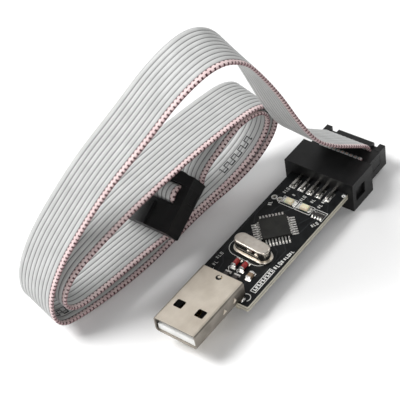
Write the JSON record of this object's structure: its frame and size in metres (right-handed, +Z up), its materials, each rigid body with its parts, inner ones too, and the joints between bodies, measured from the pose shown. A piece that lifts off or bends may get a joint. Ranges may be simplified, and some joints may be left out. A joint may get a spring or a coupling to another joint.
{
  "type": "usb microcontroller programmer",
  "caption": "Bare board programming stick with a USB plug at one end and a boxed pin header at the other, with a flat ribbon cable looped beside it and a socket at each end.",
  "frame": {"origin": "under the middle of the stick, on the surface that the boxed header stands on", "axes": "+X from the USB plug to the boxed header, +Y across the stick to its left, +Z up from the board's component side"},
  "size_m": [0.0887, 0.0492, 0.0639],
  "materials": {
    "board": "black solder mask over glass-fibre laminate, satin",
    "shell": "nickel plated steel, finely brushed",
    "white_plastic": "white moulded insulator",
    "gold": "thin gold plating",
    "crystal_metal": "drawn nickel silver can",
    "black_plastic": "black moulded plastic, fine texture",
    "chip_plastic": "dark moulding compound",
    "tin": "bright tin plating and solder",
    "led_lens": "cream translucent lens",
    "red_glass": "small glass tube, red inside",
    "ceramic": "dark fired ceramic",
    "ribbon": "grey ribbed PVC, first conductor marked red"
  },
  "bodies": {
    "stick": {"pcb": "board", "usb_shell": "shell", "usb_insulator": "white_plastic", "usb_contacts": "gold", "crystal_base": "crystal_metal", "crystal_can": "crystal_metal", "mcu_body": "chip_plastic", "mcu_leads": "tin", "power_led": "led_lens", "status_led": "led_lens", "led_terminals": "tin", "diode_glass": "red_glass", "diode_caps": "tin", "resistor_bodies": "ceramic", "resistor_terminals": "tin", "capacitor_body": "ceramic", "capacitor_terminals": "tin", "header_shroud": "black_plastic", "header_pins": "gold", "solder_joints": "tin"},
    "cable": {"near_socket_body": "black_plastic", "near_socket_contacts": "gold", "near_socket_cover": "black_plastic", "near_strain_relief": "black_plastic", "near_ribbon_fold": "ribbon", "far_socket_body": "black_plastic", "far_socket_contacts": "gold", "far_socket_cover": "black_plastic", "far_strain_relief": "black_plastic", "far_ribbon_fold": "ribbon", "ribbon_lead": "ribbon", "ribbon_loops": "ribbon"}
  },
  "joints": [
    {"name": "socket_slide", "type": "slide", "parent": "stick", "child": "cable", "axis": [1, 0, 0], "range_m": [0, 0.01]}
  ]
}
